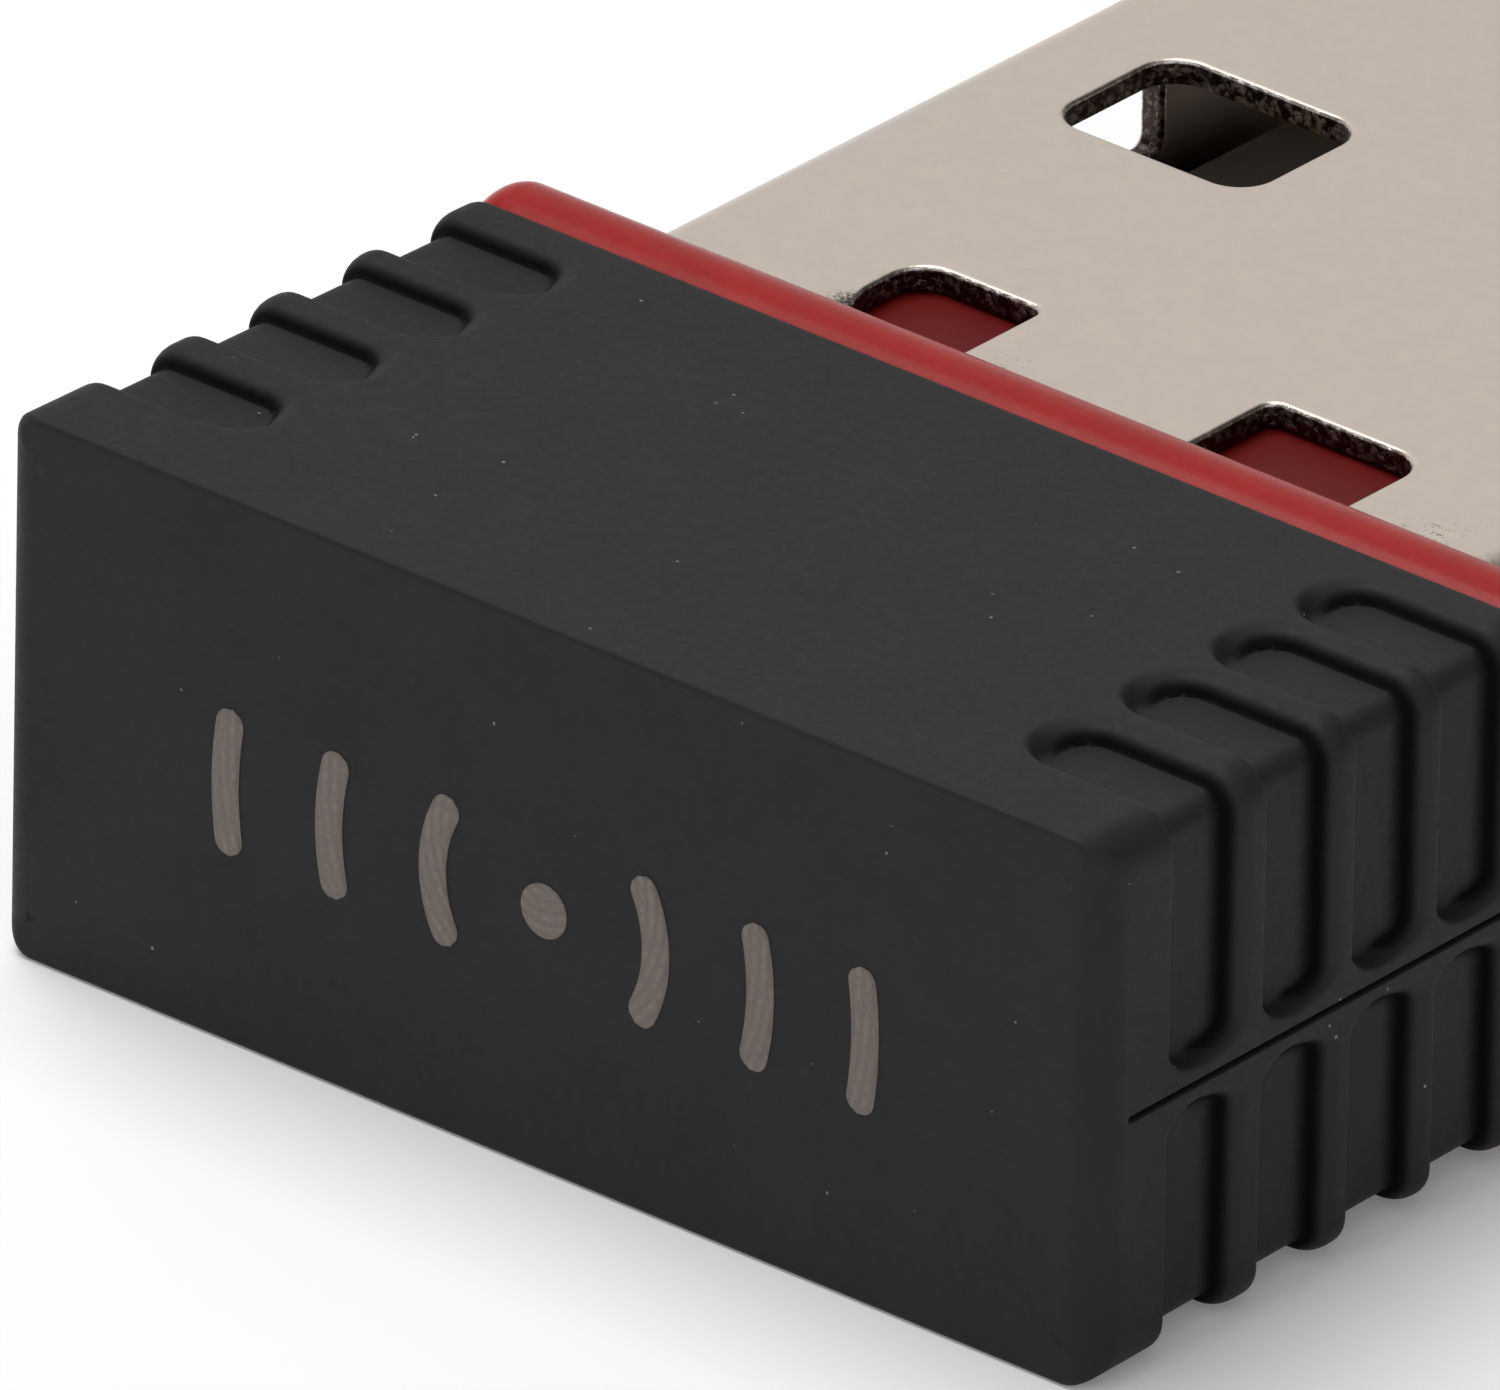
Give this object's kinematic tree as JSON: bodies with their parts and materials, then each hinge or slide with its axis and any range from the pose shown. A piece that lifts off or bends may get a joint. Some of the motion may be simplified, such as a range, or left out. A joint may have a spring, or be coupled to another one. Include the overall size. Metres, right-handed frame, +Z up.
{
  "type": "usb wifi adapter",
  "caption": "Small wireless network adapter: ribbed black cap, red collar and a folded steel USB plug with latch holes, around a small circuit board.",
  "frame": {"origin": "on the plug's axis, in the collar's front face, which stops against the port", "axes": "+Y is the way the plug goes in, +Z is up towards the open side of the contacts, X is across the plug"},
  "size_m": [0.0148, 0.0202, 0.0062],
  "materials": {
    "cap_plastic": "fine matte texture",
    "collar_plastic": "glossy",
    "shell_steel": "satin nickel plate",
    "board": "solder mask",
    "gold": "plated",
    "chip_plastic": "moulded",
    "tan_ceramic": "fired",
    "white_ceramic": "fired",
    "tin": "tin plate"
  },
  "bodies": {
    "root": {"outer_cap": "cap_plastic", "collar_carrier": "collar_plastic", "usb_shell": "shell_steel", "shell_solder": "tin", "circuit_board": "board", "contact_power": "gold", "contact_data_minus": "gold", "contact_data_plus": "gold", "contact_ground": "gold", "wifi_chip": "chip_plastic", "wifi_chip_leads": "tin", "crystal_base": "white_ceramic", "crystal_lid": "tin", "regulator": "chip_plastic", "regulator_leads": "tin", "power_inductor": "tan_ceramic", "capacitors": "tan_ceramic", "capacitor_ends": "tin", "resistors": "chip_plastic", "resistor_ends": "tin", "chip_antenna": "white_ceramic", "antenna_ends": "tin", "matching_parts": "tan_ceramic", "antenna_feed": "gold", "test_pads": "gold"}
  },
  "joints": []
}
